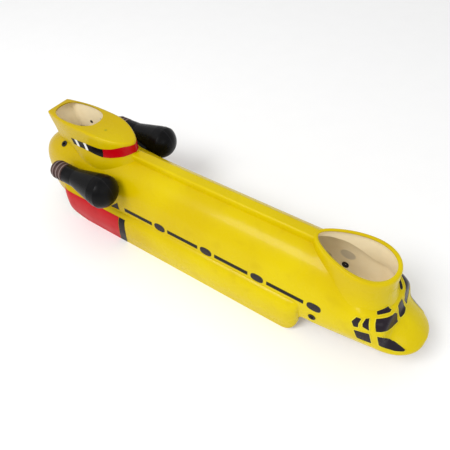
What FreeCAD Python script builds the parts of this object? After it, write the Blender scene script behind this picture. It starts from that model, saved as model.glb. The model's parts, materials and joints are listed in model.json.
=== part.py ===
"""Body shell of a radio-controlled tandem-rotor helicopter, in millimetres.

Every piece is drawn in the cabin frame: x = 0 midway along the row of cabin windows with the nose
towards +x, y = 0 in the plane of symmetry and z = 0 on the cheat line.  The Placement of each piece
then brings the origin to the middle of the footprint, on the ground, with +z up.
"""
import FreeCAD, Part
import math
import os
import Sketcher

V = FreeCAD.Vector
X_AXIS = V(1, 0, 0)
Y_AXIS = V(0, 1, 0)
Z_AXIS = V(0, 0, 1)
SIDES = (("starboard", -1), ("port", 1))

# ------------------------------------------------- driving sizes: alias, value, what it is
SIZES = [
    ("shell_wall", 1.2, "wall of the moulded body"),
    ("film", 0.15, "thickness of the vinyl markings"),
    ("seat_gap", 0.05, "play between glued or clipped pieces"),
    ("nose_tip", 175.6, "front of the nose, from the middle of the windows"),
    ("nose_start", 114.0, "where the nose begins to narrow"),
    ("tail_end", 268.0, "rear of the fuselage, from the middle of the windows"),
    ("tail_start", 208.0, "where the tail begins to narrow"),
    ("cabin_half_width", 35.5, "half width of the cabin"),
    ("crown_height", 43.4, "top of the cabin above the cheat line"),
    ("roof_drop", 82.0, "where the cabin roof starts to fall to the cockpit"),
    ("cockpit_edge", 144.0, "upper edge of the windshield"),
    ("cockpit_height", 14.0, "upper edge of the windshield above the cheat line"),
    ("windshield_run", 5.5, "windshield, fore and aft"),
    ("bonnet_height", 2.5, "foot of the windshield above the cheat line"),
    ("nose_depth", 15.5, "top of the nose tip below the cheat line"),
    ("sill_depth", 22.3, "trimmed edge of the nose below the cheat line"),
    ("bilge_tuck", 4.0, "how far the nose turns under at that edge"),
    ("cabin_sill", 25.0, "trimmed edge beside the bulges below the cheat line"),
    ("cabin_tuck", 1.2, "how far the wall turns under there"),
    ("tail_waist", 4.0, "height of the rearmost point above the cheat line"),
    ("bulge_front", 72.5, "front end of the side bulges"),
    ("bulge_rear", 228.0, "rear end of the side bulges, from the middle of the windows"),
    ("bulge_taper", 14.0, "rounding of a bulge's ends seen from above"),
    ("bulge_out", 7.0, "how far a side bulge stands out"),
    ("bulge_crease", 6.0, "upper crease of a side bulge below the cheat line"),
    ("skirt_depth", 47.0, "lower edge of the side bulges below the cheat line"),
    ("front_skirt_corner", 13.0, "radius of the front lower corner of a side bulge"),
    ("rear_corner_run", 33.0, "rear lower corner of a side bulge, fore and aft"),
    ("rear_corner_rise", 15.0, "rear lower corner of a side bulge, up and down"),
    ("sill_corner", 6.0, "radius between a bulge's end and the trimmed edge"),
    ("spine_width", 11.7, "width of the tunnel along the roof"),
    ("spine_height", 49.4, "top of the tunnel above the cheat line"),
    ("front_mast", 100.5, "middle of the front opening"),
    ("front_rim", 48.2, "height of the front rim at its middle"),
    ("front_length", 77.0, "front pylon, fore and aft"),
    ("front_width", 48.8, "front pylon, across"),
    ("front_lip", 4.2, "width of the inward lip of the front opening"),
    ("front_foot", 8.5, "spread of the front pylon at its foot"),
    ("aft_mast", 211.9, "middle of the aft opening"),
    ("aft_rim", 69.2, "height of the aft rim"),
    ("aft_bow", 136.0, "front end of the aft pylon"),
    ("aft_bow_drop", 7.0, "fall of the aft pylon's hood towards its bow"),
    ("aft_transom", 245.5, "rear end of the aft pylon"),
    ("aft_width", 41.0, "aft pylon, across"),
    ("transom_width", 29.0, "rear face of the aft pylon, across"),
    ("aft_open_length", 55.4, "aft opening, fore and aft"),
    ("aft_open_width", 34.0, "aft opening, across"),
    ("aft_foot", 7.0, "spread of the aft pylon at its foot"),
    ("seam_strip_width", 7.0, "glued strips behind the seam, across"),
    ("seam_strip_thickness", 0.8, "glued strips behind the seam"),
    ("roof_strip_front", 51.0, "front end of the roof strip, from the middle of the windows"),
    ("roof_strip_rear", 114.0, "rear end of the roof strip, from the middle of the windows"),
    ("window_pitch", 57.0, "cabin windows, centre to centre"),
    ("window_length", 13.5, "cabin window, fore and aft"),
    ("window_height", 9.5, "cabin window, up and down"),
    ("dash_length", 37.0, "bars of the cheat line"),
    ("dash_height", 4.6, "bars of the cheat line, up and down"),
    ("chevron_width", 3.9, "white chevrons of the pylon's band"),
    ("chevron_slant", 3.2, "lean of those chevrons over the band's height"),
    ("grommet_bore", 1.75, "bore radius of a grommet"),
    ("grommet_neck", 2.6, "radius of a grommet where it passes the wall"),
    ("grommet_rim", 3.5, "radius of a grommet's flanges"),
    ("grommet_flange", 0.7, "thickness of a grommet's flange"),
    ("grommet_relief", 0.3, "room between the wall and a grommet's inner flange"),
    ("front_grommet_x", 85.4, "front grommets, from the middle of the windows"),
    ("front_grommet_z", 15.0, "front grommets below the cheat line"),
    ("aft_grommet_x", 224.5, "aft grommets, from the middle of the windows"),
    ("aft_grommet_y", 23.0, "aft grommets from the plane of symmetry"),
    ("aft_grommet_z", 42.8, "aft grommets above the cheat line"),
    ("nacelle_x", 141.3, "centre of a nacelle's dome"),
    ("nacelle_stand", 11.2, "nacelle axis out from the side of the cabin"),
    ("nacelle_z", 29.2, "nacelle axis above the cheat line"),
    ("nacelle_wall", 1.2, "wall of the nacelle mouldings"),
    ("dome_radius", 17.2, "intake dome"),
    ("crown_setback", 7.0, "centre of the dome's round crown behind its front edge"),
    ("dome_band", 5.0, "straight band behind the dome"),
    ("neck_length", 3.0, "neck of the barrel inside the dome's band"),
    ("collar_radius", 16.4, "barrel collar behind the dome"),
    ("collar_length", 4.5, "barrel collar behind the dome"),
    ("shoulder_length", 30.0, "slope from the collar to the waist"),
    ("barrel_length", 52.7, "nacelle barrel behind the dome's centre"),
    ("barrel_radius", 10.0, "nacelle barrel at its waist"),
    ("barrel_end_radius", 9.7, "nacelle barrel at its rear end"),
    ("exhaust_length", 16.0, "ringed exhaust"),
    ("exhaust_radius", 9.9, "ringed exhaust over its rings"),
    ("ring_depth", 1.1, "grooves between the exhaust's rings"),
    ("ring_pitch", 4.8, "rings of the exhaust"),
    ("spigot_length", 4.0, "spigot of the exhaust in the barrel"),
    ("pad_tilt", 22.5, "rise of the saddle from the body to the nacelle, in degrees"),
    ("pad_back", 24.5, "middle of the saddle behind the dome's centre"),
    ("pad_length", 23.0, "saddle between nacelle and body, fore and aft"),
    ("pad_height", 9.0, "saddle, up and down"),
    ("screw_radius", 1.0, "nacelle screw, shank"),
    ("screw_head_radius", 2.0, "nacelle screw, head"),
    ("screw_head_height", 1.2, "nacelle screw, head"),
    ("screw_length", 10.5, "nacelle screw, under its head"),
    ("screw_pitch", 11.0, "nacelle screws, centre to centre"),
]

# ------------------------------------------------- shape constants that are not sizes
NOSE_BLUNTNESS = 2.5       # exponent of the nose seen from above; 2 would be an ellipse
TAIL_BLUNTNESS = 2.5
CABIN_SQUARENESS = 1.9     # exponent of the roof seen from the front
TAIL_SQUARENESS = 2.7
BROW_SQUARENESS = 4.5      # exponent just behind the windshield
BONNET_SQUARENESS = 1.55
OPEN_SQUARENESS = 2.6      # exponent of the aft opening
BOW_SHARPNESS = 1.6        # exponent of the aft pylon's bow seen from above
FRONT_SLOPE = -0.06        # rise of the front rim towards the nose
FRONT_EGG = 0.33           # how much wider the front pylon is ahead of its middle
REAR_CORNER_MIDDLE = (0.24, 0.6)   # where the rear lower corner of a bulge passes, by run and rise
TRANSOM_RAKE = 0.35        # forward lean of the aft pylon's rear face going down
ARCH_POINTS = 16
RING_POINTS = 28

doc = FreeCAD.newDocument("body_shell")
sheet = doc.addObject("Spreadsheet::Sheet", "sizes")
for row, (alias, value, note) in enumerate(SIZES, start=1):
    sheet.set(f"A{row}", note)
    sheet.set(f"B{row}", str(value))
    sheet.setAlias(f"B{row}", alias)
doc.recompute()


def size(alias):
    return float(sheet.get(alias))


WALL = size("shell_wall")
BELOW_ALL = -size("skirt_depth") - 20
TIGHT = 1e-5


def superellipse(share, exponent):
    """Height of a unit superellipse at a share of its half length."""
    return (1 - min(max(share, 0), 1) ** exponent) ** (1 / exponent)


def smooth_step(share):
    share = min(max(share, 0), 1)
    return share * share * (3 - 2 * share)


# ------------------------------------------------- skins and how they close
def clamped_knots(count):
    inner = count - 4
    return [4] + [1] * inner + [4], [float(knot) for knot in range(inner + 2)]


def skin(rows, ring=False):
    """Smooth face held by a net of points, cubic both ways; a ring closes on itself."""
    along_counts, along = clamped_knots(len(rows))
    if ring:
        round_counts = [1] * (len(rows[0]) + 1)
        around = [float(knot) for knot in range(len(rows[0]) + 1)]
    else:
        round_counts, around = clamped_knots(len(rows[0]))
    surface = Part.BSplineSurface()
    surface.buildFromPolesMultsKnots(rows, along_counts, round_counts, along, around, False, ring, 3, 3)
    return surface.toShape()


def solid_of(faces):
    shell = Part.Shell(faces)
    shell.sewShape()
    solid = Part.Solid(shell)
    solid.fix(TIGHT, TIGHT, TIGHT)
    return solid


def close_arch(hull):
    """Solid under an arched skin: flat faces close its two ends and its foot."""
    ends = [edge for edge in hull.Edges if edge.BoundBox.XLength < 1e-3]
    feet = [edge for edge in hull.Edges if edge.BoundBox.XLength >= 1e-3]
    faces = [hull]
    sills = []
    for end in ends:
        sill = Part.LineSegment(end.Vertexes[0].Point, end.Vertexes[-1].Point).toShape()
        sills.append(sill)
        faces.append(Part.Face(Part.Wire(Part.__sortEdges__([end, sill]))))
    faces.append(Part.Face(Part.Wire(Part.__sortEdges__(feet + sills))))
    return solid_of(faces)


def close_ring(hull):
    """Solid inside a ring-shaped skin: flat faces close its foot and its top."""
    rims = [edge for edge in hull.Edges if edge.isClosed()]
    return solid_of([hull] + [Part.Face(Part.Wire([rim])) for rim in rims])


# ------------------------------------------------- fuselage
def half_width(x, grow):
    width = size("cabin_half_width") + grow
    nose = (x - size("nose_start")) / (size("nose_tip") + grow - size("nose_start"))
    tail = (-x - size("tail_start")) / (size("tail_end") + grow - size("tail_start"))
    return width * superellipse(nose, NOSE_BLUNTNESS) * superellipse(tail, TAIL_BLUNTNESS)


def roof_height(x, grow):
    crown = size("crown_height")
    glass_end = size("cockpit_edge") + size("windshield_run")
    fall = smooth_step((x - size("roof_drop")) / (size("cockpit_edge") - size("roof_drop")))
    height = crown - (crown - size("cockpit_height")) * fall
    glass = smooth_step((x - size("cockpit_edge")) / size("windshield_run"))
    height -= glass * (size("cockpit_height") - size("bonnet_height"))
    bonnet = min(max((x - glass_end) / (size("nose_tip") - glass_end), 0), 1)
    height -= (0.65 * bonnet + 0.35 * bonnet ** 2.5) * (size("nose_depth") + size("bonnet_height"))
    tail = (-x - size("tail_start")) / (size("tail_end") + grow - size("tail_start"))
    if tail > 0:
        waist = size("tail_waist")
        height = waist + (crown - waist) * superellipse(tail, TAIL_BLUNTNESS)
    return height + grow


def arch_section(x, grow):
    """Points across the fuselage, from the port foot over the roof to the starboard foot."""
    width = half_width(x, grow)
    top = roof_height(x, grow)
    sill = -size("sill_depth")
    low = smooth_step((x - 120) / 40)
    spring = min(-low * 18, top - 1.5)
    rise = spring - sill
    ahead = smooth_step((x - size("bulge_front")) / 60)
    sill -= (1 - ahead) * (size("cabin_sill") - size("sill_depth"))
    tuck = size("cabin_tuck") + ahead * (size("bilge_tuck") - size("cabin_tuck"))
    tuck = min(tuck, width * 0.4)
    foot = [
        V(x, width - 2 * tuck, BELOW_ALL),
        V(x, width - 2 * tuck, sill - 8),
        V(x, width - tuck, sill),
        V(x, width - tuck * 0.2, sill + 0.3 * rise),
        V(x, width, sill + 0.65 * rise),
    ]
    squareness = CABIN_SQUARENESS
    squareness += (BROW_SQUARENESS - CABIN_SQUARENESS) * smooth_step((x - 112) / 24)
    squareness += (BONNET_SQUARENESS - BROW_SQUARENESS) * smooth_step((x - 139) / 12)
    squareness += (TAIL_SQUARENESS - CABIN_SQUARENESS) * smooth_step((-x - 130) / 70)
    arch = []
    for step in range(ARCH_POINTS + 1):
        angle = math.pi * step / ARCH_POINTS
        across = math.copysign(abs(math.cos(angle)) ** (2 / squareness), math.cos(angle))
        upward = math.sin(angle) ** (2 / squareness) if 0 < step < ARCH_POINTS else 0
        arch.append(V(x, width * across, spring + (top - spring) * upward))
    return foot + arch + [V(p.x, -p.y, p.z) for p in reversed(foot)]


def spread(start, end, shares):
    return [start + share * (end - start) for share in shares]


BLUNT_END = (0.15, 0.3, 0.45, 0.6, 0.72, 0.82, 0.9, 0.95, 0.98, 0.995, 0.9995)
EVEN = (0.0, 0.125, 0.25, 0.375, 0.5, 0.625, 0.75, 0.875)
TAPER_END = (0.3, 0.55, 0.75, 0.9, 0.97, 1.0)


def fuselage(grow):
    """Cabin, cockpit, nose and tail, offset outwards by grow."""
    glass_end = size("cockpit_edge") + size("windshield_run")
    stations = spread(-size("tail_start"), -size("tail_end") - grow, BLUNT_END)[::-1]
    stations += spread(-size("tail_start"), size("roof_drop"), EVEN)
    stations += spread(size("roof_drop"), size("cockpit_edge"), EVEN)
    stations += spread(size("cockpit_edge"), glass_end, (0.0, 0.35, 0.7, 1.0))
    stations += spread(glass_end, size("nose_tip") + grow, BLUNT_END)
    return close_arch(skin([arch_section(x, grow) for x in stations]))


# ------------------------------------------------- side bulges, one skin across both sides
def bulge_section(x, grow):
    front = size("bulge_front") + grow
    rear = -size("bulge_rear") - grow
    taper = size("bulge_taper")
    fade = superellipse((x - front + taper) / taper, 2.0) * superellipse((rear + taper - x) / taper, 2.0)
    base = half_width(x, grow) - 1.5
    out = (size("bulge_out") + 1.5) * fade
    crease = -size("bulge_crease") + grow
    foot = -size("skirt_depth")
    side = [
        V(x, base + out * 0.72, BELOW_ALL - 3),
        V(x, base + out * 0.72, foot - 6),
        V(x, base + out * 0.78, foot + 3),
        V(x, base + out * 0.98, foot + 12),
        V(x, base + out, (foot + crease) / 2),
        V(x, base + out * 0.92, crease - 8),
        V(x, base + out * 0.45, crease - 2),
        V(x, base, crease),
        V(x, base * 0.88, crease),
        V(x, base * 0.5, crease),
    ]
    return side + [V(p.x, -p.y, p.z) for p in reversed(side)]


def bulges(grow):
    front = size("bulge_front") + grow
    rear = -size("bulge_rear") - grow
    taper = size("bulge_taper")
    stations = spread(rear + taper, rear, TAPER_END)[::-1]
    stations += spread(rear + taper, front - taper, EVEN)
    stations += spread(front - taper, front, (0.0,) + TAPER_END)
    return close_arch(skin([bulge_section(x, grow) for x in stations]))


# ------------------------------------------------- spine tunnel
def spine(grow):
    half = size("spine_width") / 2 + grow
    top = size("spine_height") + grow
    start = -(size("aft_bow") + size("aft_mast")) / 2
    bar = Part.makeBox(size("front_mast") - start, 2 * half, 20, V(start, -half, top - 20))
    edges = [edge for edge in bar.Edges if edge.BoundBox.ZMin > top - 1 and edge.BoundBox.YLength < 1]
    return bar.makeFillet(2.0 + grow, edges)


# ------------------------------------------------- front pylon
def front_ring(outset, level, slope):
    """One ring of the front pylon, grown by outset, on a plane that rises towards the nose."""
    mast = size("front_mast")
    length = size("front_length") / 2 + outset
    width = size("front_width") / 2 + outset
    ring = []
    for step in range(RING_POINTS):
        angle = 2 * math.pi * step / RING_POINTS
        x = length * math.cos(angle)
        y = width * math.sin(angle) * (1 + FRONT_EGG * math.cos(angle))
        ring.append(V(mast + x, y, level + slope * x))
    return ring


def front_pylon(grow):
    rim = size("front_rim") + grow
    foot = size("front_foot")
    rings = [
        front_ring(foot + grow, -8, 0),
        front_ring(foot + grow, 0, 0),
        front_ring(foot * 0.75 + grow, 7, 0),
        front_ring(foot * 0.4 + grow, 15, 0),
        front_ring(foot * 0.12 + grow, 23, FRONT_SLOPE / 2),
        front_ring(grow, 32, FRONT_SLOPE),
        front_ring(grow, rim - 7, FRONT_SLOPE),
        front_ring(grow, rim - 3.5, FRONT_SLOPE),
        front_ring(grow - 0.3, rim - 1.2, FRONT_SLOPE),
        front_ring(grow - 1.6, rim, FRONT_SLOPE),
        front_ring(grow - 3.4, rim - 0.4, FRONT_SLOPE),
        front_ring(grow - 6.5, rim - 2.0, FRONT_SLOPE),
    ]
    return close_ring(skin(rings, ring=True))


# ------------------------------------------------- aft pylon
def aft_outline(outset):
    """Half outline of the aft pylon seen from above, from the transom's middle to the bow."""
    transom = size("transom_width") / 2 + outset
    half = size("aft_width") / 2 + outset
    rear = -size("aft_transom") - outset
    bow = -size("aft_bow") + outset
    shoulder = -size("aft_mast") + 10
    bow_start = shoulder + 28
    points = [(rear, 0), (rear, transom * 0.5), (rear, transom * 0.97), (rear + 0.5, transom)]
    for share in (0.2, 0.45, 0.7, 0.9):
        widen = math.sin(math.pi / 2 * share)
        points.append((rear + share * (shoulder - rear), transom + (half - transom) * widen))
    points.append((shoulder + 10, half))
    for share in (0.0, 0.25, 0.5, 0.7, 0.85, 0.95, 1.0):
        points.append((bow_start + share * (bow - bow_start), half * superellipse(share, BOW_SHARPNESS)))
    return points


def aft_roof(x, grow):
    """Height of the hood: level around the opening, then falling to the bow."""
    flat = -size("aft_mast") + size("aft_open_length") / 2
    share = (x - flat) / (-size("aft_bow") - flat)
    return size("aft_rim") + grow - size("aft_bow_drop") * smooth_step(share / 1.2)


def aft_ring(grow, foot, height):
    """One ring of the aft pylon; its foot spreads fully under the bow and hardly at the grommets."""
    half = []
    for (x, y), (wide_x, wide_y) in zip(aft_outline(grow), aft_outline(grow + foot)):
        fade = 0.15 + 0.85 * smooth_step((x + size("aft_grommet_x") - 8) / 30)
        half.append((x + (wide_x - x) * fade, y + (wide_y - y) * fade))
    full = half + [(x, -y) for x, y in reversed(half[1:-1])]
    return [V(x, y, height(x)) for x, y in full]


def aft_pylon(grow):
    rim = size("aft_rim")
    foot = size("aft_foot")

    def level(height):
        return lambda x: height

    def under_roof(depth):
        return lambda x: aft_roof(x, grow) - depth

    def raked(ring):
        return [V(p.x + TRANSOM_RAKE * (rim - p.z) * smooth_step((-p.x - 190) / 50), p.y, p.z) for p in ring]

    rings = [
        aft_ring(grow, foot, level(30)),
        aft_ring(grow, foot * 0.9, level(36)),
        aft_ring(grow, foot * 0.5, level(42)),
        aft_ring(grow, foot * 0.15, level(47)),
        aft_ring(grow, 0, level(52)),
        aft_ring(grow, 0, under_roof(6)),
        aft_ring(grow, 0, under_roof(3)),
        aft_ring(grow - 0.3, 0, under_roof(0.8)),
        aft_ring(grow - 1.6, 0, under_roof(0)),
        aft_ring(grow - 4.0, 0, under_roof(0)),
    ]
    rings = [raked(ring) for ring in rings]
    mast = V(-size("aft_mast"), 0, rim + grow)
    for scale in (0.5, 0.1):
        shrunk = [(mast.x + (p.x - mast.x) * scale, p.y * scale) for p in rings[9]]
        rings.append([V(x, y, aft_roof(x, grow)) for x, y in shrunk])
    return close_ring(skin(rings, ring=True))


# ------------------------------------------------- whole form
def whole_form(grow):
    """The closed outer form of the body, offset outwards by grow."""
    return fuselage(grow).fuse([bulges(grow), spine(grow), front_pylon(grow), aft_pylon(grow)])


def under_body():
    """Everything below the trimmed lower edge of the body."""
    sill = -size("cabin_sill")
    skirt = -size("skirt_depth")
    small = size("sill_corner")
    front_corner = size("front_skirt_corner")
    rear_run = size("rear_corner_run")
    half = math.sqrt(0.5)
    far = size("nose_tip") + 50
    behind = -size("tail_end") - 50

    def point(x, z):
        return V(x, -100, z)

    def line(*corners):
        return [Part.LineSegment(a, b).toShape() for a, b in zip(corners, corners[1:])]

    def bulge_end(x, facing, run, rise, middle):
        """From the trimmed edge down the end of a bulge to its skirt, on the side it faces.

        The lower corner is an arc whose middle is given as shares of its run and its rise.
        """
        inner = Part.Arc(point(x + facing * small, sill),
                         point(x + facing * small * (1 - half), sill - small * (1 - half)),
                         point(x, sill - small))
        outer = Part.Arc(point(x, skirt + rise),
                         point(x - facing * run * middle[0], skirt + rise * middle[1]),
                         point(x - facing * run, skirt))
        return [inner.toShape(), *line(point(x, sill - small), point(x, skirt + rise)), outer.toShape()]

    front = size("bulge_front")
    rear = -size("bulge_rear")
    nose_sill = -size("sill_depth")
    edges = line(point(behind, BELOW_ALL - 20), point(far, BELOW_ALL - 20), point(far, nose_sill),
                 point(size("nose_tip"), nose_sill), point(size("nose_start"), sill),
                 point(front + small, sill))
    edges += bulge_end(front, 1, front_corner, front_corner, (1 - half, 1 - half))
    edges += line(point(front - front_corner, skirt), point(rear + rear_run, skirt))
    edges += bulge_end(rear, -1, rear_run, size("rear_corner_rise"), REAR_CORNER_MIDDLE)[::-1]
    edges += line(point(rear - small, sill), point(behind, sill), point(behind, BELOW_ALL - 20))
    return Part.Face(Part.Wire(Part.__sortEdges__(edges))).extrude(V(0, 200, 0))


def front_opening():
    lip = size("front_lip")
    ring = front_ring(-lip, size("front_rim") - 12, FRONT_SLOPE)
    curve = Part.BSplineCurve()
    curve.buildFromPoles(ring, True, 3)
    return Part.Face(Part.Wire([curve.toShape()])).extrude(V(0, 0, 30))


def aft_opening():
    length = size("aft_open_length") / 2
    width = size("aft_open_width") / 2
    ring = []
    for step in range(RING_POINTS):
        angle = 2 * math.pi * step / RING_POINTS
        x = length * math.copysign(abs(math.cos(angle)) ** (2 / OPEN_SQUARENESS), math.cos(angle))
        y = width * math.copysign(abs(math.sin(angle)) ** (2 / OPEN_SQUARENESS), math.sin(angle))
        ring.append(V(x - size("aft_mast"), y, size("aft_rim") - 10))
    curve = Part.BSplineCurve()
    curve.buildFromPoles(ring, True, 3)
    return Part.Face(Part.Wire([curve.toShape()])).extrude(V(0, 0, 30))


# ------------------------------------------------- places on the wall
hull = fuselage(0)
outer_form = whole_form(0)


def wall_seat(x, y, z):
    """Nearest point of the outer wall and the direction out of it there."""
    near = Part.Vertex(x, y, z).distToShape(outer_form)
    point = near[1][0][1]
    face = outer_form.Faces[near[2][0][4]]
    outward = face.normalAt(*near[2][0][5])
    return point, outward


GROMMETS = {
    "front_grommet": wall_seat(size("front_grommet_x"), size("cabin_half_width"), -size("front_grommet_z")),
    "aft_grommet": wall_seat(-size("aft_grommet_x"), size("aft_grommet_y"), size("aft_grommet_z")),
}

tilt = math.radians(size("pad_tilt"))
TO_BODY = V(0, -math.cos(tilt), -math.sin(tilt))
NACELLE_OUT = size("cabin_half_width") + size("nacelle_stand")
NACELLE = V(-size("nacelle_x"), NACELLE_OUT, size("nacelle_z"))
PAD_MIDDLE = NACELLE - X_AXIS * size("pad_back")
SCREWS = [PAD_MIDDLE + X_AXIS * (side * size("screw_pitch") / 2) for side in (-1, 1)]


def depth_of_wall(start):
    """How far the outer wall lies from a point on the nacelle's axis, towards the body."""
    ray = Part.makeLine(start, start + TO_BODY * NACELLE_OUT)
    return min(start.distanceToPoint(vertex.Point) for vertex in ray.common(hull).Vertexes)


# ------------------------------------------------- how pieces join the document
ORIGIN = V((size("tail_end") - size("nose_tip")) / 2, 0, size("skirt_depth"))
pieces = []


def finish(piece, label):
    """Give a piece its label and bring it from the cabin frame to the ground frame."""
    piece.Label = label
    piece.Placement = FreeCAD.Placement(ORIGIN + piece.Placement.Base, piece.Placement.Rotation)
    pieces.append(piece)


def moulded(label, shape):
    piece = doc.addObject("Part::Feature", label)
    piece.Shape = shape
    finish(piece, label)


def moulded_pair(label, shape):
    """A port piece and its mirror image on the starboard side."""
    moulded(f"{label}_port", shape)
    moulded(f"{label}_starboard", shape.mirror(V(0, 0, 0), Y_AXIS))


def port_half(shape):
    reach = 2 * size("tail_end")
    return shape.cut(Part.makeBox(2 * reach, reach, 2 * reach, V(-reach, -reach, -reach)))


# ------------------------------------------------- the two half shells
def holes_in_wall():
    radius = size("grommet_neck") + size("seat_gap")
    depth = 4 * WALL
    drills = [Part.makeCylinder(radius, 2 * depth, point - outward * depth, outward)
              for point, outward in GROMMETS.values()]
    radius = size("screw_radius") + size("seat_gap")
    for start in SCREWS:
        outside = start + TO_BODY * (depth_of_wall(start) - WALL)
        drills.append(Part.makeCylinder(radius, 2 * depth, outside, TO_BODY))
    return drills


half_shell = port_half(outer_form).cut(port_half(whole_form(-WALL)))
for tool in [under_body(), front_opening(), aft_opening()] + holes_in_wall():
    half_shell = half_shell.cut(tool)
if len(half_shell.Solids) != 1 or half_shell.Volume > 0.6 * half_shell.Area * WALL:
    raise RuntimeError("the half shell did not come out as one thin wall")
moulded_pair("body_shell", half_shell)


# ------------------------------------------------- strips glued behind the seam
def seam_strip(start, end, low, high):
    outer = -WALL - size("seat_gap")
    stock = fuselage(outer).cut(fuselage(outer - size("seam_strip_thickness")))
    width = size("seam_strip_width")
    return stock.common(Part.makeBox(end - start, width, high - low, V(start, -width / 2, low)))


moulded("nose_seam_strip",
        seam_strip(size("cockpit_edge") + 2, size("nose_tip"), 1 - size("sill_depth"), size("cockpit_height")))
moulded("tail_seam_strip",
        seam_strip(-size("tail_end"), -size("aft_transom") - 2, -2, size("crown_height")))

roof_strip = doc.addObject("Part::Box", "roof_seam_strip")
roof_strip.setExpression("Length", "sizes.roof_strip_front + sizes.roof_strip_rear")
roof_strip.setExpression("Width", "sizes.seam_strip_width")
roof_strip.setExpression("Height", "sizes.seam_strip_thickness")
roof_level = size("spine_height") - WALL - size("seat_gap") - size("seam_strip_thickness")
roof_strip.Placement.Base = V(-size("roof_strip_rear"), -size("seam_strip_width") / 2, roof_level)
finish(roof_strip, "roof_seam_strip")


# ------------------------------------------------- turned pieces
class Length:
    """A length that remembers the sheet expression it comes from."""

    def __init__(self, value, text):
        self.value = value
        self.text = text

    def __add__(self, other):
        return Length(self.value + other.value, f"{self.text} + {other.text}")

    def __sub__(self, other):
        return Length(self.value - other.value, f"{self.text} - ({other.text})")

    def __neg__(self):
        return Length(-self.value, f"-({self.text})")

    def __mul__(self, factor):
        return Length(self.value * factor, f"({self.text}) * {factor}")


def sized(alias):
    return Length(size(alias), f"sizes.{alias}")


def hypotenuse(a, b):
    return Length(math.hypot(a.value, b.value), f"sqrt(({a.text})^2 + ({b.text})^2)")


ZERO = Length(0.0, "0")


def origin_plane(body, role):
    return next(item for item in body.Origin.OriginFeatures if item.Role == role)


def pin(sketch, geometry, end, place, axis_kind, across):
    """Hold one coordinate of a corner at its expression, or on the axis where it is zero."""
    if abs(place.value) < TIGHT:
        sketch.addConstraint(Sketcher.Constraint("PointOnObject", geometry, end, across))
        return
    index = sketch.addConstraint(Sketcher.Constraint(axis_kind, -1, 1, geometry, end, place.value))
    sketch.setExpression(f"Constraints[{index}]", place.text)


def turned(label, corners):
    """Body turned about its own x axis from a closed profile of (x, radius) corners.

    A corner with a third entry is joined to the next one by an arc centred on the origin; the corner
    at the end of that arc has only its radius held, because the arc gives its x.
    """
    body = doc.addObject("PartDesign::Body", label)
    sketch = body.newObject("Sketcher::SketchObject", f"{label}_profile")
    sketch.AttachmentSupport = [(origin_plane(body, "XY_Plane"), "")]
    sketch.MapMode = "FlatFace"
    spots = [V(corner[0].value, corner[1].value, 0) for corner in corners]
    ends = []
    for index, corner in enumerate(corners):
        start, end = spots[index], spots[(index + 1) % len(spots)]
        if len(corner) == 2:
            sketch.addGeometry(Part.LineSegment(start, end), False)
            ends.append((1, 2))
            continue
        angles = [math.atan2(spot.y, spot.x) for spot in (start, end)]
        circle = Part.Circle(V(0, 0, 0), Z_AXIS, start.Length)
        sketch.addGeometry(Part.ArcOfCircle(circle, min(angles), max(angles)), False)
        ends.append((1, 2) if angles[0] < angles[1] else (2, 1))
        sketch.addConstraint(Sketcher.Constraint("Coincident", index, 3, -1, 1))
    for index, corner in enumerate(corners):
        before = index - 1 if index else len(corners) - 1
        after_arc = len(corners[before]) == 3
        here = ends[index][0]
        sketch.addConstraint(Sketcher.Constraint("Coincident", before, ends[before][1], index, here))
        if not after_arc:
            pin(sketch, index, here, corner[0], "DistanceX", -2)
        pin(sketch, index, here, corner[1], "DistanceY", -1)
    revolve = body.newObject("PartDesign::Revolution", f"{label}_turning")
    revolve.Profile = sketch
    revolve.ReferenceAxis = (sketch, ["H_Axis"])
    revolve.Angle = 360
    doc.recompute()
    return body


def place(body, base, rotation):
    body.Placement = FreeCAD.Placement(base, rotation)
    return body


# ------------------------------------------------- grommets
def grommet_corners():
    gap = sized("seat_gap")
    low = -(sized("shell_wall") + sized("grommet_relief"))
    bore = sized("grommet_bore")
    neck = sized("grommet_neck")
    rim = sized("grommet_rim")
    flange = sized("grommet_flange")
    edge = flange * 0.3
    inner_end = low - flange
    outer_end = gap + flange
    return [(inner_end, bore), (inner_end, rim - edge), (inner_end + edge, rim), (low, rim), (low, neck),
            (gap, neck), (gap, rim), (outer_end - edge, rim), (outer_end, rim - edge), (outer_end, bore)]


for name, (point, outward) in GROMMETS.items():
    for side, hand in SIDES:
        facing = V(outward.x, hand * outward.y, outward.z)
        grommet = turned(f"{name}_{side}", grommet_corners())
        place(grommet, V(point.x, hand * point.y, point.z), FreeCAD.Rotation(X_AXIS, facing))
        finish(grommet, f"{name}_{side}")


# ------------------------------------------------- nacelles
def dome_corners():
    """Profile about the centre of the round crown."""
    radius = sized("dome_radius")
    inside = radius - sized("nacelle_wall")
    edge = sized("crown_setback")
    crown = hypotenuse(radius, edge)
    back = edge - sized("dome_band")
    return [(edge, radius, "arc"), (crown, ZERO), (crown - sized("nacelle_wall"), ZERO, "arc"), (edge, inside),
            (back, inside), (back, radius)]


def barrel_corners():
    wall = sized("nacelle_wall")
    gap = sized("seat_gap")
    neck = sized("dome_radius") - wall - gap
    front = sized("neck_length") - sized("dome_band")
    face = -(sized("dome_band") + gap)
    collar_end = face - sized("collar_length")
    waist = collar_end - sized("shoulder_length")
    rear = -sized("barrel_length")
    return [(front, neck), (face, neck), (face, sized("collar_radius")), (collar_end, sized("collar_radius")),
            (waist, sized("barrel_radius")), (rear, sized("barrel_end_radius")),
            (rear, sized("barrel_end_radius") - wall), (waist, sized("barrel_radius") - wall),
            (collar_end, neck - wall), (front, neck - wall)]


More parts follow.
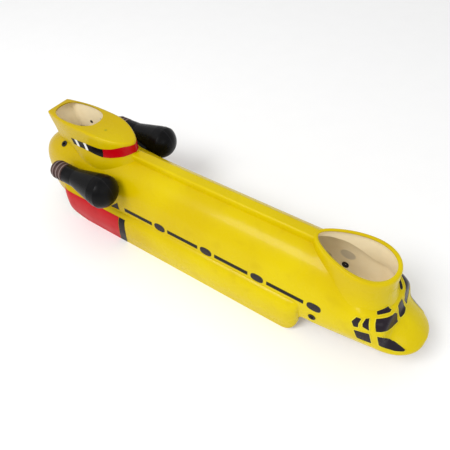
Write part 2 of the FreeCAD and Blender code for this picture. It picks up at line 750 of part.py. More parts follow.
def exhaust_corners():
    spigot = sized("barrel_end_radius") - sized("nacelle_wall") - sized("seat_gap")
    radius = sized("exhaust_radius")
    groove = radius - sized("ring_depth")
    pitch = sized("ring_pitch")
    corners = [(sized("spigot_length"), spigot), (ZERO, spigot), (ZERO, groove)]
    for ring in range(3):
        start = -(sized("seat_gap") + pitch * (ring + 0.15))
        corners += [(start, groove), (start - pitch * 0.15, radius), (start - pitch * 0.55, radius),
                    (start - pitch * 0.7, groove)]
    inside = spigot - sized("nacelle_wall")
    return corners + [(-sized("exhaust_length"), groove), (-sized("exhaust_length"), inside),
                      (sized("spigot_length"), inside)]


def screw_corners():
    shank = sized("screw_radius")
    head = sized("screw_head_radius")
    length = sized("screw_length")
    return [(-sized("screw_head_height"), ZERO), (-sized("screw_head_height"), head), (ZERO, head),
            (ZERO, shank), (length - shank, shank), (length, ZERO)]


def drill_barrel(body, label):
    """Two screw holes through one wall of the barrel, on its own +z side."""
    sketch = body.newObject("Sketcher::SketchObject", f"{label}_drilling")
    sketch.AttachmentSupport = [(origin_plane(body, "XY_Plane"), "")]
    sketch.MapMode = "FlatFace"
    for index, sign in enumerate((-1, 1)):
        x = -sized("pad_back") + sized("screw_pitch") * (sign * 0.5)
        radius = sized("screw_radius") + sized("seat_gap")
        sketch.addGeometry(Part.Circle(V(x.value, 0, 0), Z_AXIS, radius.value), False)
        sketch.addConstraint(Sketcher.Constraint("PointOnObject", index, 3, -1))
        pin(sketch, index, 3, x, "DistanceX", -2)
        held = sketch.addConstraint(Sketcher.Constraint("Radius", index, radius.value))
        sketch.setExpression(f"Constraints[{held}]", radius.text)
    before = body.Shape.Volume
    pocket = body.newObject("PartDesign::Pocket", f"{label}_holes")
    pocket.Profile = sketch
    pocket.setExpression("Length", "sizes.collar_radius + sizes.nacelle_wall")
    pocket.Reversed = True
    doc.recompute()
    if body.Shape.Volume >= before:
        raise RuntimeError(f"{label} was not drilled")


def saddle():
    """Block between barrel and body, hollowed to fit both, with the screws' holes."""
    length = size("pad_length")
    height = size("pad_height")
    block = Part.makeBox(length, height, NACELLE_OUT / 2, V(-length / 2, -height / 2, 0))
    block.Placement = FreeCAD.Placement(PAD_MIDDLE, FreeCAD.Rotation(X_AXIS, V(0, 0, 0), TO_BODY, "XZY"))
    gap = size("seat_gap")
    waist = size("dome_band") + gap + size("collar_length") + size("shoulder_length")
    middle = size("barrel_radius") + gap
    block = block.cut(Part.makeCone(size("barrel_end_radius") + gap, middle, size("barrel_length") - waist,
                                    NACELLE - X_AXIS * size("barrel_length"), X_AXIS))
    block = block.cut(Part.makeCone(middle, size("collar_radius") + gap, size("shoulder_length"),
                                    NACELLE - X_AXIS * waist, X_AXIS))
    block = block.cut(fuselage(gap))
    for start in SCREWS:
        block = block.cut(Part.makeCylinder(size("screw_radius") + gap, NACELLE_OUT, start, TO_BODY))
    return block


moulded_pair("nacelle_saddle", saddle())
for side, hand in SIDES:
    centre = V(NACELLE.x, hand * NACELLE.y, NACELLE.z)
    towards_body = FreeCAD.Rotation(X_AXIS, hand * (90 + size("pad_tilt")))
    level = FreeCAD.Rotation()
    crown_centre = centre - X_AXIS * size("crown_setback")
    finish(place(turned(f"intake_dome_{side}", dome_corners()), crown_centre, level), f"intake_dome_{side}")
    barrel = place(turned(f"nacelle_barrel_{side}", barrel_corners()), centre, towards_body)
    drill_barrel(barrel, f"nacelle_barrel_{side}")
    finish(barrel, f"nacelle_barrel_{side}")
    rear = centre - X_AXIS * (size("barrel_length") + size("seat_gap"))
    finish(place(turned(f"exhaust_{side}", exhaust_corners()), rear, level), f"exhaust_{side}")
    screws = []
    for number, start in enumerate(SCREWS):
        seat = start + TO_BODY * (depth_of_wall(start) + WALL + size("grommet_relief"))
        outward = V(0, -hand * TO_BODY.y, -TO_BODY.z)
        screw = turned(f"screw_{side}_{number}", screw_corners())
        screws.append(place(screw, V(seat.x, hand * seat.y, seat.z), FreeCAD.Rotation(X_AXIS, outward)))
    pair = doc.addObject("Part::Compound", f"nacelle_screws_{side}")
    pair.Links = screws
    finish(pair, f"nacelle_screws_{side}")


# ------------------------------------------------- vinyl markings, cut from one thin skin
# Outlines are (x, z) seen from the side or (y, z) seen from the front, in the cabin frame.
SIDE_PANES = {
    "aft upper": ((118.8, 7.0), (121.2, 12.5), (125.2, 12.9), (124.5, 7.9), (125.2, 3.7), (121.6, 2.2)),
    "forward upper": ((130.6, 14.4), (128.2, 13.9), (127.4, 9.5), (128.4, 6.6), (134.2, 5.2)),
    "lower": ((122.4, -1.8), (134.9, 1.4), (139.0, -10.3), (126.7, -11.4)),
    "chin": ((141.2, 1.2), (144.4, 1.0), (146.2, -0.6), (148.8, -4.8), (151.0, -6.8), (154.2, -8.4),
             (159.4, -11.2), (164.4, -14.2), (163.6, -15.2), (157.3, -14.8), (151.0, -12.8), (144.8, -9.6)),
}
MAIN_PANE = ((26.8, 13.9), (34.5, 9.0), (33.5, 6.0), (29.1, 5.9), (23.0, 3.2), (17.3, 1.1), (10.2, 1.0),
             (7.6, 7.2), (11.1, 11.5), (17.9, 12.7))
MAIN_PANE_REAR = ((134.8, 14.6), (139.4, 5.4), (156.0, -2.0), (156.0, 18.0))
EYEBROW_PANE = ((23.5, 15.1), (19.9, 16.6), (12.5, 17.4), (11.4, 13.9), (14.2, 13.8))
CENTRE_PANE = ((4.4, 12.2), (5.6, 7.0), (6.0, 1.6), (-6.0, 1.6), (-5.6, 7.0), (-4.4, 12.2))
TAIL_PANEL = ((-139.5, -11.0), (-225.0, -11.5), (-232.0, -22.0), (-232.0, -50.0), (-145.5, -50.0),
              (-141.5, -30.0))
TAIL_BAND = ((-131.0, -11.0), (-139.0, -11.0), (-141.0, -30.0), (-145.0, -50.0), (-136.0, -50.0),
             (-132.0, -30.0))
CHEAT_LINE_START = ((-154.0, -5.6), (-142.0, 5.0), (-141.0, -4.4))
BAND_TOP = ((-214.0, 51.8), (-185.0, 54.0), (-166.0, 54.4), (-155.0, 56.2), (-143.0, 59.8), (-120.0, 61.0))
BAND_FOOT = ((-214.0, 46.0), (-184.5, 46.9), (-165.0, 45.6), (-156.0, 46.2), (-144.0, 48.3), (-137.0, 51.0),
             (-120.0, 51.0))
BAND_RED = (-164.0, -125.0)
BAND_BLACK = ((-209.0, -203.4), (-199.3, -190.4), (-186.3, -164.2))
CHEVRONS = (-203.3, -190.3)


def rounded_wire(corners):
    """Closed outline that keeps its straight edges and rounds its corners a little."""
    poles = []
    for start, end in zip(corners, corners[1:] + corners[:1]):
        poles += [start, start + (end - start) * 0.2, start + (end - start) * 0.8]
    curve = Part.BSplineCurve()
    curve.buildFromPoles(poles, True, 2)
    return Part.Wire([curve.toShape()])


def side_prism(outline, rounded=True):
    corners = [V(x, 0, z) for x, z in outline]
    wire = rounded_wire(corners) if rounded else Part.makePolygon(corners + corners[:1])
    return Part.Face(wire).extrude(Y_AXIS * NACELLE_OUT)


def front_prism(outline):
    corners = [V(size("cockpit_edge") - 15, y, z) for y, z in outline]
    return Part.Face(rounded_wire(corners)).extrude(X_AXIS * 30)


def level_at(line, x):
    for (x0, z0), (x1, z1) in zip(line, line[1:]):
        if x0 <= x <= x1:
            return z0 + (z1 - z0) * (x - x0) / (x1 - x0)
    raise ValueError(x)


def band_prism(start, end, lean_start, lean_end):
    """Slice of the pylon's band; each end leans back from top to foot by its own amount."""
    top = [(start, level_at(BAND_TOP, start))] + [p for p in BAND_TOP if start < p[0] < end]
    top.append((end, level_at(BAND_TOP, end)))
    low, high = start + lean_start, end + lean_end
    foot = [(low, level_at(BAND_FOOT, low))] + [p for p in BAND_FOOT if low < p[0] < high]
    foot.append((high, level_at(BAND_FOOT, high)))
    return side_prism(top + foot[::-1], rounded=False)


def oval_prism(centre):
    """Cabin window: a squarish oval."""
    length = size("window_length") / 2
    height = size("window_height") / 2
    outline = []
    for step in range(16):
        angle = math.pi * step / 8
        x = math.copysign(abs(math.cos(angle)) ** 0.8, math.cos(angle))
        z = math.copysign(abs(math.sin(angle)) ** 0.8, math.sin(angle))
        outline.append((centre + length * x, height * z))
    return side_prism(outline)


def vinyl(prisms):
    return Part.makeCompound([skin_stock.common(prism) for prism in prisms])


def dash(centre):
    half = size("dash_length") / 2
    high = size("dash_height") / 2
    rear, front = centre - half, centre + half
    return side_prism(((rear, -high), (front, -high), (front, high), (rear, high)), rounded=False)


film_gap = size("seat_gap")
skin_stock = port_half(whole_form(film_gap + size("film"))).cut(port_half(whole_form(film_gap)))
skin_stock = skin_stock.cut(under_body())
lean = size("chevron_slant")
pitch = size("window_pitch")
moulded_pair("cabin_windows", vinyl([oval_prism(pitch * steps) for steps in (-1.5, -0.5, 0.5, 1.5)]))
moulded_pair("cheat_line", vinyl([dash(pitch * steps) for steps in (-2, -1, 0, 1)]
                                 + [side_prism(CHEAT_LINE_START, rounded=False)]))
main_pane = front_prism(MAIN_PANE).common(side_prism(MAIN_PANE_REAR, rounded=False))
moulded_pair("cockpit_panes", vinyl([side_prism(outline) for outline in SIDE_PANES.values()]
                                    + [main_pane, front_prism(EYEBROW_PANE)]))
moulded_pair("tail_panel", vinyl([side_prism(TAIL_PANEL, rounded=False)]))
moulded_pair("tail_band", vinyl([side_prism(TAIL_BAND, rounded=False)]))
black = [band_prism(start, end, lean, lean) for start, end in BAND_BLACK[:-1]]
black.append(band_prism(*BAND_BLACK[-1], lean, 0))
moulded_pair("pylon_band_black", vinyl(black))
white = [band_prism(start, start + size("chevron_width"), lean, lean) for start in CHEVRONS]
moulded_pair("pylon_chevrons", vinyl(white))
red_half = skin_stock.common(band_prism(*BAND_RED, 0, 0))
moulded("pylon_band_red", red_half.fuse(red_half.mirror(V(0, 0, 0), Y_AXIS)))
pane_half = skin_stock.common(front_prism(CENTRE_PANE))
moulded("centre_pane", pane_half.fuse(pane_half.mirror(V(0, 0, 0), Y_AXIS)))

doc.recompute()
for item in doc.Objects:
    if "Invalid" in item.State or "Error" in item.State:
        raise RuntimeError(f"{item.Label}: {item.State}")
os.makedirs("parts", exist_ok=True)
for piece in pieces:
    shape = piece.Shape
    if shape.isNull() or not shape.isValid() or not shape.Solids:
        raise RuntimeError(f"{piece.Label} has no valid shape")
    shape.exportStep(f"parts/{piece.Label}.step")
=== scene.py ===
"""Looks of the tandem-rotor model helicopter's body shell, built round its CAD frame."""
import json

import bmesh
import bpy
from mathutils import Matrix, Vector
from mathutils.bvhtree import BVHTree


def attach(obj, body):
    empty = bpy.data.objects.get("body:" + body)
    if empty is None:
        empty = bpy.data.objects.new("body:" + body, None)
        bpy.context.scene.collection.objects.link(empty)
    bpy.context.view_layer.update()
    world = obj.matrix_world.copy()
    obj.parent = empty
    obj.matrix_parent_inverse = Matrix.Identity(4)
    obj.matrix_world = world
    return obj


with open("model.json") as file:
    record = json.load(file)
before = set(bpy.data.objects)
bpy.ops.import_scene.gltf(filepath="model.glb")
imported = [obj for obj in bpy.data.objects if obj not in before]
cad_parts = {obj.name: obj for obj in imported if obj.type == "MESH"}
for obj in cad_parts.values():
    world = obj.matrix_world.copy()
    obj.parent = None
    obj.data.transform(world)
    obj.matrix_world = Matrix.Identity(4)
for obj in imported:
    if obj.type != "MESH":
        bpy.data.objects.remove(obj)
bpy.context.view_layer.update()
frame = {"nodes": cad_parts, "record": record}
NODES = frame["nodes"]
MM = 0.001

# The CAD is drawn from the middle of the cabin windows, on the cheat line. These are the places it
# has in the frame, in metres.
CABIN_X = 46.2 * MM
CABIN_Z = 47.0 * MM
CABIN = Vector((CABIN_X, 0.0, CABIN_Z))
FRONT_MAST = CABIN_X + 100.5 * MM
AFT_MAST = CABIN_X - 211.9 * MM
CROWN = CABIN_Z + 43.4 * MM
FRONT_RIM = CABIN_Z + 48.2 * MM
AFT_RIM = CABIN_Z + 69.2 * MM
FRONT_RIM_SLOPE = 0.06
LIP = 2.8 * MM
NACELLE_Y = 46.7 * MM
NACELLE_Z = CABIN_Z + 29.2 * MM
EXHAUST_FRONT = CABIN_X - (141.3 + 52.7) * MM
EXHAUST_BORE = (6.9 * MM, 7.8 * MM)
RING_PITCH = 4.8 * MM
WINDOW_PITCH = 57.0 * MM
PANE_RIM_WIDTH = 1.0 * MM
PANE_RIM_HEIGHT = 0.3 * MM
MERGE = 0.002 * MM
OUTER_FACE = 0.7

# The line that the fuselage wall faces away from: its ends along the body and its height. Above
# PYLON_FOOT the walls face away from their mast. The last two are the upward parts of the normals
# above which a face near a rim is its lip, and below which any face is the shell's lower edge.
SPINE = (-169 * MM, 176 * MM)
SPINE_Z = 30 * MM
PYLON_FOOT = CROWN + 0.5 * MM
PYLON_FLARE = 10 * MM
LIP_UPWARD = -0.5
LOWER_EDGE_UPWARD = -0.93

# Marks in the shell's colour: painted shade towards the tail, a dark spot inside, a smudge, and
# painted shadows of the window and band films seen through the wall.
TAIL_PAINTED_SHADE = (AFT_MAST - 40 * MM, AFT_MAST + 130 * MM)
AFT_SPOT = (CABIN_X - 218.8 * MM, 93.2 * MM)
SMUDGE = (CABIN_X - 169.4 * MM, -4.9 * MM)
SMUDGE_ABOVE = 105 * MM
WINDOW_SHADOW = (8 * MM, 6 * MM)
BAND_SHADOW = (CABIN_X - 205 * MM, CABIN_X - 168 * MM)
BAND_SHADOW_GAP = CABIN_X - 194 * MM
BAND_SHADOW_Z = 98 * MM


def cabin(x, y, z):
    """Place in the frame of a point given in millimetres from the middle of the cabin windows."""
    return CABIN + Vector((x, y, z)) * MM


def linear(red, green, blue):
    """Linear colour of a display colour given from 0 to 255."""
    parts = []
    for value in (red, green, blue):
        share = value / 255
        parts.append(share / 12.92 if share <= 0.04045 else ((share + 0.055) / 1.055) ** 2.4)
    return (*parts, 1.0)


# ------------------------------------------------- stage, light and camera
CAMERA_LENS = 38.27
CAMERA_SENSOR = 36
CAMERA_PLACE = cabin(160.9, -258.9, 348.8)
CAMERA_RIGHT = Vector((0.82432, 0.56518, -0.03265))
CAMERA_UP = Vector((-0.39513, 0.61569, 0.68176))
CAMERA_BACK = Vector((0.40542, -0.54909, 0.73085))
FLOOR_HALF_SIDE = 6
WORLD_STRENGTH = 0.74
SOFTBOX_ASPECT = 0.7

camera_data = bpy.data.cameras.new("camera")
camera_data.lens = CAMERA_LENS
camera_data.sensor_width = CAMERA_SENSOR
camera = bpy.data.objects.new("camera", camera_data)
bpy.context.scene.collection.objects.link(camera)
turn = Matrix((CAMERA_RIGHT, CAMERA_UP, CAMERA_BACK)).transposed().to_4x4()
camera.matrix_world = Matrix.Translation(CAMERA_PLACE) @ turn
bpy.context.scene.camera = camera
bpy.context.scene.view_settings.view_transform = "Standard"

floor_mesh = bpy.data.meshes.new("floor")
bm = bmesh.new()
bmesh.ops.create_grid(bm, x_segments=1, y_segments=1, size=FLOOR_HALF_SIDE)
bm.to_mesh(floor_mesh)
bm.free()
floor = bpy.data.objects.new("floor", floor_mesh)
bpy.context.scene.collection.objects.link(floor)

world = bpy.data.worlds.new("studio")
world.use_nodes = True
background = world.node_tree.nodes["Background"]
background.inputs["Color"].default_value = (1, 1, 1, 1)
background.inputs["Strength"].default_value = WORLD_STRENGTH
bpy.context.scene.world = world


def softbox(name, place, aim, width, power):
    """A rectangular light of this width in metres and power in watts, turned to its aim."""
    light = bpy.data.lights.new(name, "AREA")
    light.shape = "RECTANGLE"
    light.size = width
    light.size_y = width * SOFTBOX_ASPECT
    light.energy = power
    lamp = bpy.data.objects.new(name, light)
    lamp.location = place
    lamp.rotation_euler = (Vector(aim) - Vector(place)).to_track_quat("-Z", "Y").to_euler()
    bpy.context.scene.collection.objects.link(lamp)


softbox("key", (-0.25, -0.95, 1.25), (0, 0, 0.05), 0.8, 13)
softbox("front fill", (1.3, -0.5, 0.8), (0.1, 0, 0.05), 0.5, 1)


# ------------------------------------------------- finishes
class Wire:
    """A value in a finish; arithmetic on it adds the Math nodes."""

    def __init__(self, finish, socket):
        self.finish = finish
        self.socket = socket

    def math(self, operation, *others):
        return self.finish.node("ShaderNodeMath", {"operation": operation}, [self, *others])

    def __add__(self, other):
        return self.math("ADD", other)

    def __sub__(self, other):
        return self.math("SUBTRACT", other)

    def __mul__(self, other):
        return self.math("MULTIPLY", other)

    def __truediv__(self, other):
        return self.math("DIVIDE", other)

    def __pow__(self, other):
        return self.math("POWER", other)

    def __rsub__(self, other):
        return self.finish.node("ShaderNodeMath", {"operation": "SUBTRACT"}, [other, self])

    def __gt__(self, other):
        return self.math("GREATER_THAN", other)

    def __lt__(self, other):
        return self.math("LESS_THAN", other)

    __radd__ = __add__
    __rmul__ = __mul__

    def size(self):
        return self.math("ABSOLUTE")

    def at_most(self, other):
        return self.math("MINIMUM", other)

    def at_least(self, other):
        return self.math("MAXIMUM", other)

    def ramp(self, low, high):
        """0 below low, 1 above high, smooth between."""
        settings = {"interpolation_type": "SMOOTHSTEP"}
        return self.finish.node("ShaderNodeMapRange", settings, [self, low, high, 0.0, 1.0])


class Finish:
    """A material with one shader, whose varying sockets are fed by nodes."""

    def __init__(self, name, **fixed):
        self.material = bpy.data.materials.new(name)
        self.material.use_nodes = True
        self.tree = self.material.node_tree
        self.shader = self.tree.nodes["Principled BSDF"]
        for socket, value in fixed.items():
            self.shader.inputs[socket.replace("_", " ")].default_value = value
        self.place = self.node("ShaderNodeTexCoord", {}, [], "Object")
        self.x, self.y, self.z = self.parts(self.place)

    def parts(self, vector):
        return [self.node("ShaderNodeSeparateXYZ", {}, [vector], axis) for axis in "XYZ"]

    def node(self, kind, settings, values, out=0):
        """Output of a new node, with its settings and the values or links of its sockets."""
        node = self.tree.nodes.new(kind)
        for name, value in settings.items():
            setattr(node, name, value)
        pairs = values.items() if isinstance(values, dict) else enumerate(values)
        for name, value in pairs:
            if isinstance(value, Wire):
                self.tree.links.new(value.socket, node.inputs[name])
            else:
                node.inputs[name].default_value = value
        return Wire(self, node.outputs[out])

    def noise(self, scale, detail, roughness=0.5):
        values = {
            "Vector": self.place,
            "Scale": scale,
            "Detail": detail,
            "Roughness": roughness,
        }
        return self.node("ShaderNodeTexNoise", {}, values, "Fac")

    def mix(self, factor, first, second):
        """The first colour where the factor is 0, the second where it is 1."""
        values = {0: factor, 6: first, 7: second}
        return self.node("ShaderNodeMix", {"data_type": "RGBA"}, values, 2)

    def feed(self, socket, wire):
        self.tree.links.new(wire.socket, self.shader.inputs[socket])

    def bump(self, height, depth):
        """Relief of a height from 0 to 1, this many metres deep."""
        values = {"Strength": 1.0, "Distance": depth, "Height": height}
        self.feed("Normal", self.node("ShaderNodeBump", {}, values, "Normal"))


def near(x, y, inner, outer):
    """1 within the inner radius of a point, 0 past the outer one."""
    return 1 - ((x**2 + y**2) ** 0.5).ramp(inner, outer)


def inside_of_shell(finish):
    """1 inside the wall and on its lower edge, 0 outside and on the lips of the openings.

    A face is inside where it looks towards the spine or, up in a pylon, towards the mast.
    """
    nx, ny, nz = finish.parts(finish.node("ShaderNodeNewGeometry", {}, [], "True Normal"))
    from_spine = finish.x - finish.x.at_least(SPINE[0]).at_most(SPINE[1])
    low = nx * from_spine + ny * finish.y + nz * (finish.z - SPINE_Z)
    forward = finish.x > 0
    mast = forward * (FRONT_MAST - AFT_MAST) + AFT_MAST
    high = nx * (finish.x - mast) + ny * finish.y + nz * PYLON_FLARE
    in_pylon = finish.z > PYLON_FOOT
    outward = high * in_pylon + low * (1 - in_pylon)
    level = finish.z + (finish.x - FRONT_MAST) * FRONT_RIM_SLOPE
    front_lip = (level > FRONT_RIM - LIP) * forward
    lip = front_lip.at_least(finish.z > AFT_RIM - LIP) * (nz > LIP_UPWARD)
    return (outward < 0).at_least(nz < LOWER_EDGE_UPWARD) * (1 - lip)


def painted_window_shadows(lacquer):
    """Soft shadows of the four windows, seen through the wall."""
    in_pitch = ((lacquer.x - CABIN_X) / WINDOW_PITCH).math("FRACT") - 0.5
    half_x, half_z = WINDOW_SHADOW
    along = in_pitch * WINDOW_PITCH / half_x
    upward = (lacquer.z - CABIN_Z) / half_z
    row = (lacquer.x - CABIN_X).size() < 2 * WINDOW_PITCH
    return near(along, upward, 0.8, 1.1) * row


def painted_band_shadow(lacquer):
    """Soft shadow of the pylon's band, with the gap between its chevrons."""
    rear, front = BAND_SHADOW
    band = 1 - (lacquer.z - BAND_SHADOW_Z).size().ramp(3.6 * MM, 4.6 * MM)
    gap = (lacquer.x - BAND_SHADOW_GAP).size().ramp(2.0 * MM, 2.6 * MM)
    return band * (lacquer.x < front) * (lacquer.x > rear) * gap


def shell_finish():
    """Glossy yellow lacquer outside; inside, bare cream plastic with painted shadows of the films
    that show through it.
    """
    lacquer = Finish(
        "yellow_lacquer", Specular_IOR_Level=0.1, Coat_Weight=0.07, Coat_Roughness=0.08
    )
    inner = inside_of_shell(lacquer)
    broad = lacquer.noise(9.0, 2.0)
    mottled = lacquer.noise(70.0, 4.0)
    fine = lacquer.noise(900.0, 2.0)

    yellow = lacquer.mix(broad.ramp(0.35, 0.68), linear(200, 173, 0), linear(214, 192, 0))
    yellow = lacquer.mix(mottled.ramp(0.5, 0.8) * 0.3, yellow, linear(186, 157, 0))
    # Painted shade: the lacquer darkens towards the tail, where less light falls.
    tail_painted_shade = 1 - lacquer.x.ramp(*TAIL_PAINTED_SHADE)
    yellow = lacquer.mix(tail_painted_shade * 0.75, yellow, linear(180, 149, 0))
    smudge = near(lacquer.x - SMUDGE[0], lacquer.y - SMUDGE[1], 0.4 * MM, 2.4 * MM)
    smudge = smudge * (lacquer.z > SMUDGE_ABOVE)
    yellow = lacquer.mix(smudge * 0.55, yellow, linear(120, 130, 20))

    cream = lacquer.mix(broad.ramp(0.3, 0.7), linear(254, 240, 204), linear(250, 232, 194))
    cream = lacquer.mix(mottled.ramp(0.45, 0.8) * 0.35, cream, linear(236, 214, 168))
    # Painted shadows of the window and band films, grey on the cream inside.
    painted_film_shadows = painted_window_shadows(lacquer).at_least(painted_band_shadow(lacquer)) * 0.42
    cream = lacquer.mix(painted_film_shadows, cream, linear(128, 132, 140))
    spot = near(lacquer.x - AFT_SPOT[0], lacquer.z - AFT_SPOT[1], 1.5 * MM, 2.3 * MM)
    cream = lacquer.mix(spot * (lacquer.y > 0), cream, linear(30, 22, 16))

    lacquer.feed("Base Color", lacquer.mix(inner, yellow, cream))
    lacquer.feed("Roughness", inner * 0.3 + mottled.ramp(0.3, 0.8) * 0.1 + 0.24)
    lacquer.feed("Coat Weight", (1 - inner) * 0.07)
    lacquer.bump(fine * 0.35 + mottled * 0.65, 0.00006)
    return lacquer.material


def film_finish(name, colour, worn, roughness):
    """Thin vinyl: colour with a little unevenness, a soft ripple and rubbed patches."""
    film = Finish(name, Specular_IOR_Level=0.12, Coat_Weight=0.06, Coat_Roughness=0.1)
    patchy = film.noise(60.0, 4.0)
    film.feed("Base Color", film.mix(patchy.ramp(0.45, 0.8) * 0.5, colour, worn))
    film.feed("Roughness", patchy.ramp(0.3, 0.8) * 0.16 + roughness)
    film.bump(film.noise(220.0, 2.0) * 0.7 + film.noise(1500.0, 1.0) * 0.3, 0.00004)
    return film.material


def nacelle_finish():
    """Near-black moulded plastic with a fine grain and a few paler rubbed patches."""
    plastic = Finish("nacelle_plastic", Specular_IOR_Level=0.13)
    grain = plastic.noise(1300.0, 2.0)
    rubbed = plastic.noise(55.0, 5.0, 0.6)
    colour = plastic.mix(rubbed.ramp(0.52, 0.75) * 0.5, linear(5, 5, 6), linear(26, 25, 28))
    parting = 1 - (plastic.y.size() - NACELLE_Y).size().ramp(0.10 * MM, 0.35 * MM)
    plastic.feed("Base Color", plastic.mix(parting * 0.35, colour, linear(60, 60, 62)))
    plastic.feed("Roughness", rubbed.ramp(0.35, 0.75) * 0.2 + 0.26)
    plastic.bump(grain * 0.35 + rubbed * 0.2 + parting * 0.45, 0.00012)
    return plastic.material


def exhaust_finish():
    """Brown-grey sleeve, paler along the ring crests and darker in its mouth."""
    sleeve = Finish("exhaust_sleeve", Specular_IOR_Level=0.2)
    patchy = sleeve.noise(140.0, 4.0)
    along = ((EXHAUST_FRONT - sleeve.x) / RING_PITCH).math("FRACT")
    # Paler colour along each ring's crest.
    crest = 1 - (along - 0.5).size().ramp(0.05, 0.16)
    # Darker colour within the bore's radius, at the mouth.
    dark_mouth = near(sleeve.y.size() - NACELLE_Y, sleeve.z - NACELLE_Z, *EXHAUST_BORE)
    colour = sleeve.mix(patchy.ramp(0.35, 0.75), linear(62, 44, 42), linear(92, 70, 66))
    colour = sleeve.mix(crest * 0.6, colour, linear(150, 134, 130))
    sleeve.feed("Base Color", sleeve.mix(dark_mouth, colour, linear(28, 25, 25)))
    sleeve.feed("Roughness", patchy.ramp(0.3, 0.8) * 0.25 + 0.38 + dark_mouth * 0.2)
    sleeve.bump(patchy * 0.4 + sleeve.noise(1400.0, 2.0) * 0.6, 0.0001)
    return sleeve.material


def rubber_finish():
    """Dull dark rubber with dust."""
    rubber = Finish("grommet_rubber", Specular_IOR_Level=0.3)
    dust = rubber.noise(420.0, 4.0, 0.6)
    dusty = dust.ramp(0.5, 0.8) * 0.5
    rubber.feed("Base Color", rubber.mix(dusty, linear(28, 22, 21), linear(78, 68, 58)))
    rubber.feed("Roughness", dust * 0.25 + 0.5)
    rubber.bump(rubber.noise(2600.0, 2.0), 0.00008)
    return rubber.material


def strip_finish():
    """Bare glued strip with its fibres showing."""
    strip = Finish("bare_strip")
    fibres = strip.noise(380.0, 5.0, 0.6)
    paler = fibres.ramp(0.35, 0.75)
    strip.feed("Base Color", strip.mix(paler, linear(204, 182, 126), linear(226, 208, 160)))
    strip.feed("Roughness", fibres * 0.25 + 0.48)
    strip.bump(fibres * 0.6 + strip.noise(1700.0, 2.0) * 0.4, 0.00012)
    return strip.material


def steel_finish():
    """Turned steel with faint tool marks."""
    steel = Finish("plain_steel", Metallic=1.0)
    turned = steel.noise(900.0, 3.0, 0.6)
    marks = turned.ramp(0.4, 0.8) * 0.5
    steel.feed("Base Color", steel.mix(marks, linear(186, 186, 188), linear(128, 126, 124)))
    steel.feed("Roughness", turned * 0.3 + 0.2)
    steel.bump(turned, 0.00004)
    return steel.material


def floor_finish():
    """White background paper."""
    paper = Finish("floor_paper", Roughness=0.9, Specular_IOR_Level=0.1)
    fibre = paper.noise(30.0, 3.0)
    paper.feed("Base Color", paper.mix(fibre, linear(249, 249, 249), linear(252, 252, 252)))
    return paper.material


def trim_finish():
    """The lacquer on the moulded rims, a little paler than on the shell: partly a paler paint,
    partly a painted highlight along the raised rims.
    """
    trim = Finish("pale_trim_partly_painted_highlight", Specular_IOR_Level=0.15)
    rubbed = trim.noise(160.0, 4.0)
    worn = rubbed.ramp(0.4, 0.75)
    # Paler rim colour: partly paint, partly painted highlight.
    trim.feed("Base Color", trim.mix(worn, linear(220, 204, 40), linear(206, 184, 14)))
    trim.feed("Roughness", rubbed * 0.2 + 0.3)
    trim.bump(rubbed, 0.00003)
    return trim.material


# ------------------------------------------------- moulded rims round the cockpit panes
def whole_mesh(*names):
    """One bmesh of these CAD pieces, in the frame, with their vertices merged."""
    bm = bmesh.new()
    for name in names:
        copy = NODES[name].data.copy()
        copy.transform(NODES[name].matrix_world)
        bm.from_mesh(copy)
        bpy.data.meshes.remove(copy)
    bmesh.ops.remove_doubles(bm, verts=bm.verts, dist=MERGE)
    bm.normal_update()
    return bm


def side_away(edge):
    """Direction in which an outline's edge looks away from its face."""
    face = edge.link_faces[0]
    first, second = edge.verts
    across = (second.co - first.co).cross(face.normal)
    if across.dot(face.calc_center_median() - first.co) > 0:
        across.negate()
    return across.normalized()


def outward_at(wall, place):
    """The shell's outward normal nearest to a place."""
    return wall.find_nearest(place)[1]


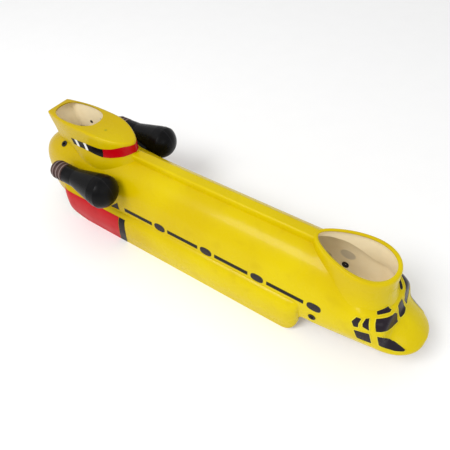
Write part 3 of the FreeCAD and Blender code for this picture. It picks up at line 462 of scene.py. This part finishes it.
def pane_rims(name, wall, finish):
    """A low moulded rim that follows the outline of each pane."""
    bm = whole_mesh(name)
    hidden = []
    for face in bm.faces:
        if face.normal.dot(outward_at(wall, face.calc_center_median())) < OUTER_FACE:
            hidden.append(face)
    bmesh.ops.delete(bm, geom=hidden, context="FACES")

    panes = list(bm.faces)
    outline = [edge for edge in bm.edges if edge.is_boundary]
    away = {}
    for edge in outline:
        for vert in edge.verts:
            away[vert] = away.get(vert, Vector()) + side_away(edge)
    grown = bmesh.ops.extrude_edge_only(bm, edges=outline)["geom"]
    for vert in [item for item in grown if isinstance(item, bmesh.types.BMVert)]:
        for edge in vert.link_edges:
            inner = edge.other_vert(vert)
            if inner in away:
                vert.co += away[inner].normalized() * PANE_RIM_WIDTH
    bmesh.ops.delete(bm, geom=panes, context="FACES")
    bmesh.ops.recalc_face_normals(bm, faces=bm.faces)

    for vert in bm.verts:
        place, outward = wall.find_nearest(vert.co)[:2]
        vert.co = place + outward * PANE_RIM_HEIGHT
    for face in bm.faces:
        if face.normal.dot(outward_at(wall, face.calc_center_median())) < 0:
            face.normal_flip()

    mesh = bpy.data.meshes.new(f"{name}_rims")
    bm.to_mesh(mesh)
    bm.free()
    mesh.materials.append(finish)
    rims = bpy.data.objects.new(f"{name}_rims", mesh)
    bpy.context.scene.collection.objects.link(rims)
    plate = rims.modifiers.new("plate", "SOLIDIFY")
    plate.thickness = PANE_RIM_HEIGHT
    plate.offset = -1
    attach(rims, "root")


# ------------------------------------------------- dressing
FINISHES = {
    "shell": shell_finish(),
    "strip": strip_finish(),
    "grommet": rubber_finish(),
    "nacelle": nacelle_finish(),
    "exhaust": exhaust_finish(),
    "screw": steel_finish(),
    "vinyl_red": film_finish("red_film", linear(182, 0, 14), linear(160, 0, 12), 0.28),
    "vinyl_white": film_finish("white_film", linear(232, 232, 226), linear(205, 203, 190), 0.3),
    "vinyl_black": film_finish("black_film", linear(14, 10, 12), linear(38, 30, 30), 0.26),
    "window_vinyl": film_finish("window_film", linear(34, 27, 34), linear(56, 48, 56), 0.2),
}
floor_mesh.materials.append(floor_finish())
for part in frame["record"]["subparts"]:
    node = NODES[part["node"]]
    node.data.materials.clear()
    node.data.materials.append(FINISHES[part["material_slot"]])

shell = whole_mesh("body_shell_port", "body_shell_starboard")
wall = BVHTree.FromBMesh(shell)
trim = trim_finish()
for name in ("cockpit_panes_port", "cockpit_panes_starboard", "centre_pane"):
    pane_rims(name, wall, trim)
shell.free()
